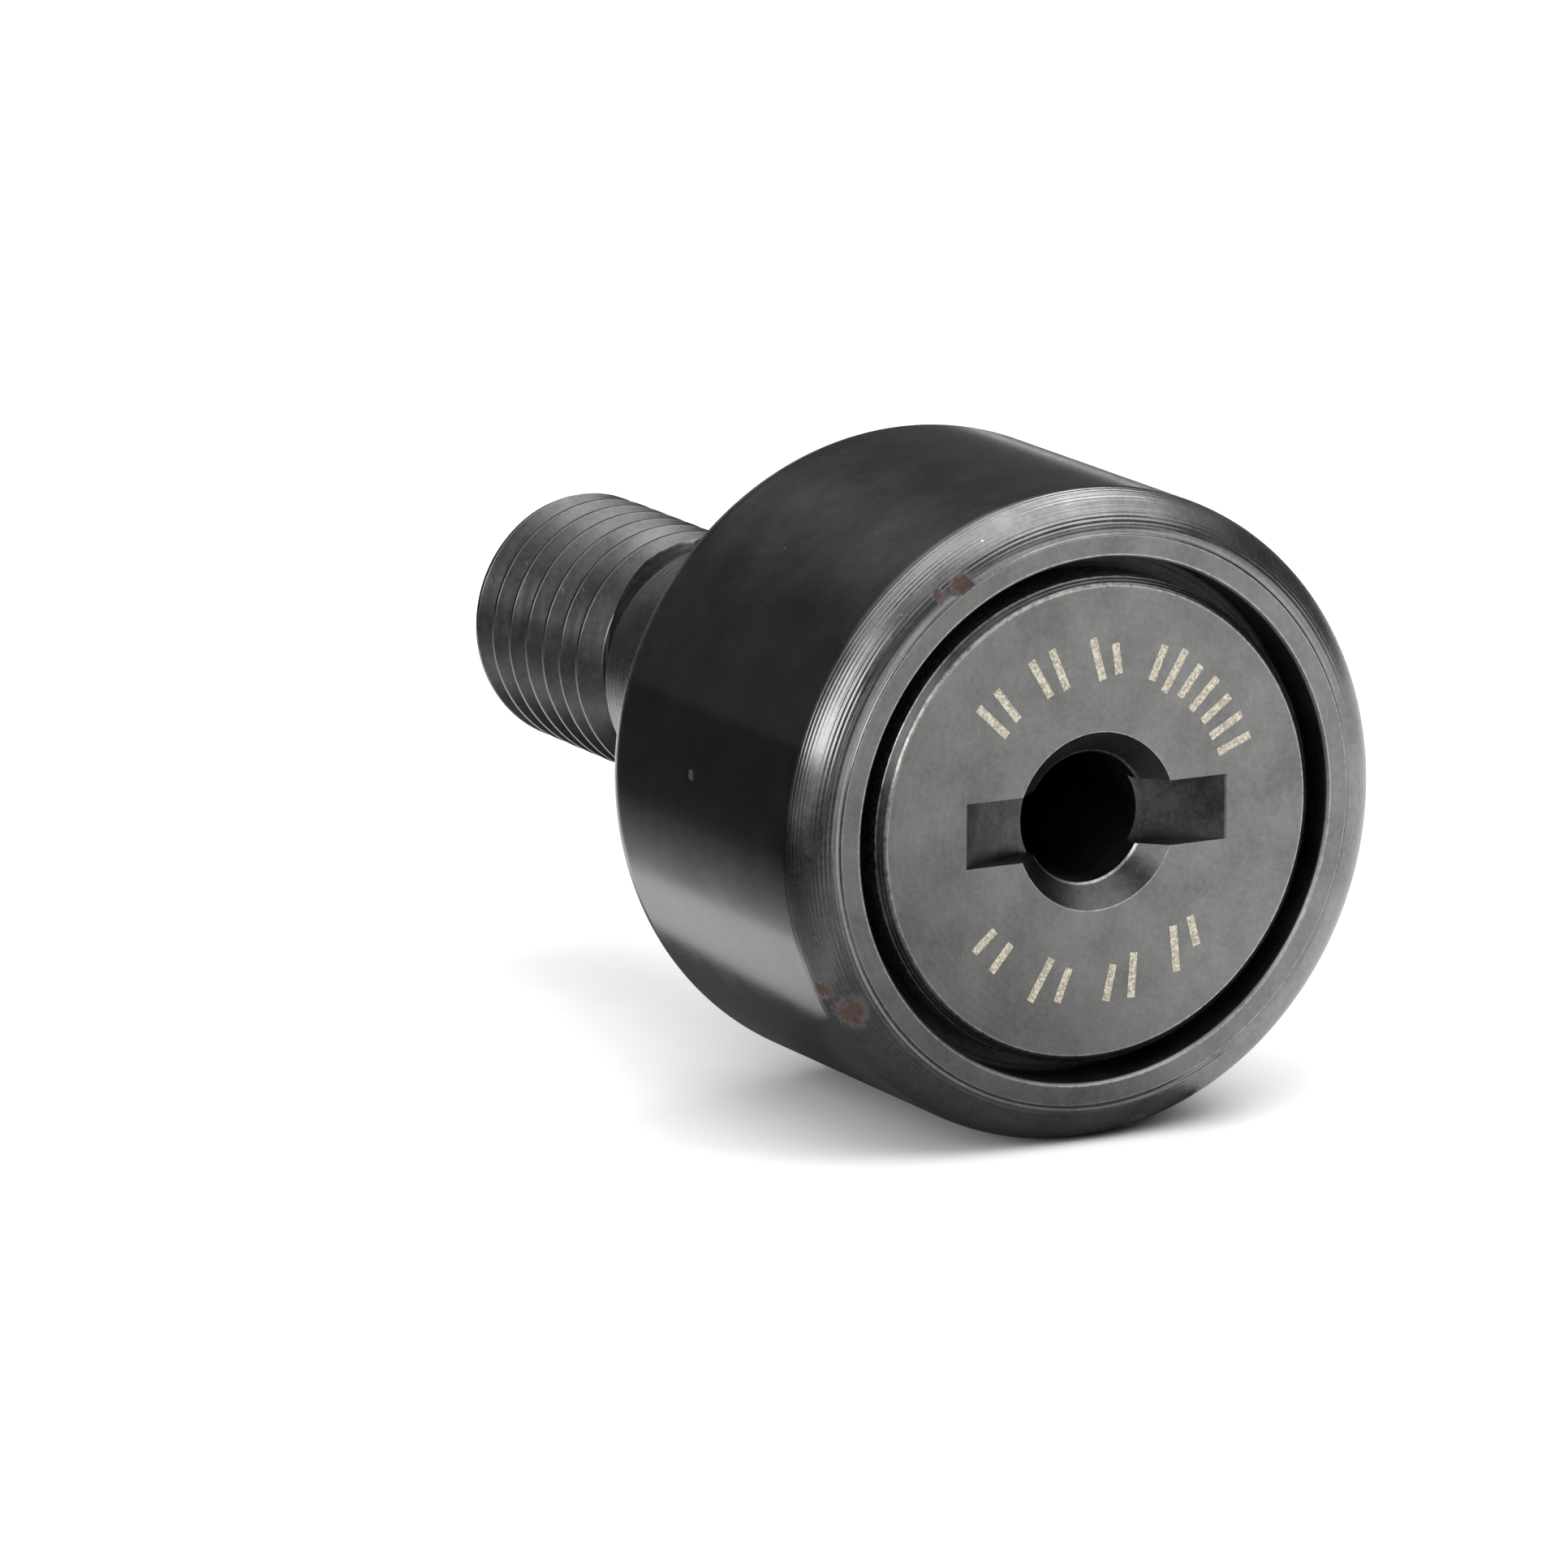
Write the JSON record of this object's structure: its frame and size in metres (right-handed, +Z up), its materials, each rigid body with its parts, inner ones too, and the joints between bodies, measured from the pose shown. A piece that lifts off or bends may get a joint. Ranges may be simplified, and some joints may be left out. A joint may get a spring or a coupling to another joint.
{
  "type": "stud cam follower",
  "caption": "Stud-type needle roller cam follower: a thick outer ring turns on needles round a flanged stud with a threaded end and a driver slot.",
  "frame": {"origin": "centre of the stud on the shoulder plane, the end plate's outer face that meets the bracket", "axes": "+Y along the stud away from the roller, +Z up, driver slot along X"},
  "size_m": [0.0158, 0.027, 0.0158],
  "materials": {
    "ring_steel": "ground and black oxide finished bearing steel",
    "stud_steel": "turned and black oxide finished alloy steel",
    "plate_steel": "stamped and black oxide finished steel",
    "needle_steel": "ground and lapped bearing steel with a film of oil"
  },
  "bodies": {
    "stud": {"stud": "stud_steel", "end_plate": "plate_steel"},
    "outer_ring": {"outer_ring": "ring_steel"},
    "needle_roller_01": {"needle_roller_01": "needle_steel"},
    "needle_roller_02": {"needle_roller_02": "needle_steel"},
    "needle_roller_03": {"needle_roller_03": "needle_steel"},
    "needle_roller_04": {"needle_roller_04": "needle_steel"},
    "needle_roller_05": {"needle_roller_05": "needle_steel"},
    "needle_roller_06": {"needle_roller_06": "needle_steel"},
    "needle_roller_07": {"needle_roller_07": "needle_steel"},
    "needle_roller_08": {"needle_roller_08": "needle_steel"},
    "needle_roller_09": {"needle_roller_09": "needle_steel"},
    "needle_roller_10": {"needle_roller_10": "needle_steel"},
    "needle_roller_11": {"needle_roller_11": "needle_steel"},
    "needle_roller_12": {"needle_roller_12": "needle_steel"},
    "needle_roller_13": {"needle_roller_13": "needle_steel"},
    "needle_roller_14": {"needle_roller_14": "needle_steel"},
    "needle_roller_15": {"needle_roller_15": "needle_steel"},
    "needle_roller_16": {"needle_roller_16": "needle_steel"},
    "needle_roller_17": {"needle_roller_17": "needle_steel"},
    "needle_roller_18": {"needle_roller_18": "needle_steel"}
  },
  "joints": [
    {"name": "ring_spin", "type": "hinge", "parent": "stud", "child": "outer_ring", "pos_m": [0, -0.00591, 0], "axis": [0, 1, 0], "continuous": true},
    {"name": "needle_orbit", "type": "hinge", "parent": "stud", "child": "needle_roller_01", "pos_m": [0, -0.00591, 0], "axis": [0, 1, 0], "continuous": true},
    {"name": "needle_spin_02", "type": "hinge", "parent": "needle_roller_01", "child": "needle_roller_02", "pos_m": [0.00164, -0.00591, 0.00449], "axis": [0, 1, 0], "continuous": true},
    {"name": "needle_spin_03", "type": "hinge", "parent": "needle_roller_01", "child": "needle_roller_03", "pos_m": [0.00307, -0.00591, 0.00366], "axis": [0, 1, 0], "continuous": true},
    {"name": "needle_spin_04", "type": "hinge", "parent": "needle_roller_01", "child": "needle_roller_04", "pos_m": [0.00414, -0.00591, 0.00239], "axis": [0, 1, 0], "continuous": true},
    {"name": "needle_spin_05", "type": "hinge", "parent": "needle_roller_01", "child": "needle_roller_05", "pos_m": [0.00471, -0.00591, 0.00083], "axis": [0, 1, 0], "continuous": true},
    {"name": "needle_spin_06", "type": "hinge", "parent": "needle_roller_01", "child": "needle_roller_06", "pos_m": [0.00471, -0.00591, -0.00083], "axis": [0, 1, 0], "continuous": true},
    {"name": "needle_spin_07", "type": "hinge", "parent": "needle_roller_01", "child": "needle_roller_07", "pos_m": [0.00414, -0.00591, -0.00239], "axis": [0, 1, 0], "continuous": true},
    {"name": "needle_spin_08", "type": "hinge", "parent": "needle_roller_01", "child": "needle_roller_08", "pos_m": [0.00307, -0.00591, -0.00366], "axis": [0, 1, 0], "continuous": true},
    {"name": "needle_spin_09", "type": "hinge", "parent": "needle_roller_01", "child": "needle_roller_09", "pos_m": [0.00164, -0.00591, -0.00449], "axis": [0, 1, 0], "continuous": true},
    {"name": "needle_spin_10", "type": "hinge", "parent": "needle_roller_01", "child": "needle_roller_10", "pos_m": [0, -0.00591, -0.00478], "axis": [0, 1, 0], "continuous": true},
    {"name": "needle_spin_11", "type": "hinge", "parent": "needle_roller_01", "child": "needle_roller_11", "pos_m": [-0.00164, -0.00591, -0.00449], "axis": [0, 1, 0], "continuous": true},
    {"name": "needle_spin_12", "type": "hinge", "parent": "needle_roller_01", "child": "needle_roller_12", "pos_m": [-0.00307, -0.00591, -0.00366], "axis": [0, 1, 0], "continuous": true},
    {"name": "needle_spin_13", "type": "hinge", "parent": "needle_roller_01", "child": "needle_roller_13", "pos_m": [-0.00414, -0.00591, -0.00239], "axis": [0, 1, 0], "continuous": true},
    {"name": "needle_spin_14", "type": "hinge", "parent": "needle_roller_01", "child": "needle_roller_14", "pos_m": [-0.00471, -0.00591, -0.00083], "axis": [0, 1, 0], "continuous": true},
    {"name": "needle_spin_15", "type": "hinge", "parent": "needle_roller_01", "child": "needle_roller_15", "pos_m": [-0.00471, -0.00591, 0.00083], "axis": [0, 1, 0], "continuous": true},
    {"name": "needle_spin_16", "type": "hinge", "parent": "needle_roller_01", "child": "needle_roller_16", "pos_m": [-0.00414, -0.00591, 0.00239], "axis": [0, 1, 0], "continuous": true},
    {"name": "needle_spin_17", "type": "hinge", "parent": "needle_roller_01", "child": "needle_roller_17", "pos_m": [-0.00307, -0.00591, 0.00366], "axis": [0, 1, 0], "continuous": true},
    {"name": "needle_spin_18", "type": "hinge", "parent": "needle_roller_01", "child": "needle_roller_18", "pos_m": [-0.00164, -0.00591, 0.00449], "axis": [0, 1, 0], "continuous": true}
  ],
  "couplings": [
    {"joint": "needle_orbit", "follows": "ring_spin", "ratio": 0.58333},
    {"joint": "needle_spin_02", "follows": "ring_spin", "ratio": 2.9167},
    {"joint": "needle_spin_03", "follows": "ring_spin", "ratio": 2.9167},
    {"joint": "needle_spin_04", "follows": "ring_spin", "ratio": 2.9167},
    {"joint": "needle_spin_05", "follows": "ring_spin", "ratio": 2.9167},
    {"joint": "needle_spin_06", "follows": "ring_spin", "ratio": 2.9167},
    {"joint": "needle_spin_07", "follows": "ring_spin", "ratio": 2.9167},
    {"joint": "needle_spin_08", "follows": "ring_spin", "ratio": 2.9167},
    {"joint": "needle_spin_09", "follows": "ring_spin", "ratio": 2.9167},
    {"joint": "needle_spin_10", "follows": "ring_spin", "ratio": 2.9167},
    {"joint": "needle_spin_11", "follows": "ring_spin", "ratio": 2.9167},
    {"joint": "needle_spin_12", "follows": "ring_spin", "ratio": 2.9167},
    {"joint": "needle_spin_13", "follows": "ring_spin", "ratio": 2.9167},
    {"joint": "needle_spin_14", "follows": "ring_spin", "ratio": 2.9167},
    {"joint": "needle_spin_15", "follows": "ring_spin", "ratio": 2.9167},
    {"joint": "needle_spin_16", "follows": "ring_spin", "ratio": 2.9167},
    {"joint": "needle_spin_17", "follows": "ring_spin", "ratio": 2.9167},
    {"joint": "needle_spin_18", "follows": "ring_spin", "ratio": 2.9167}
  ]
}
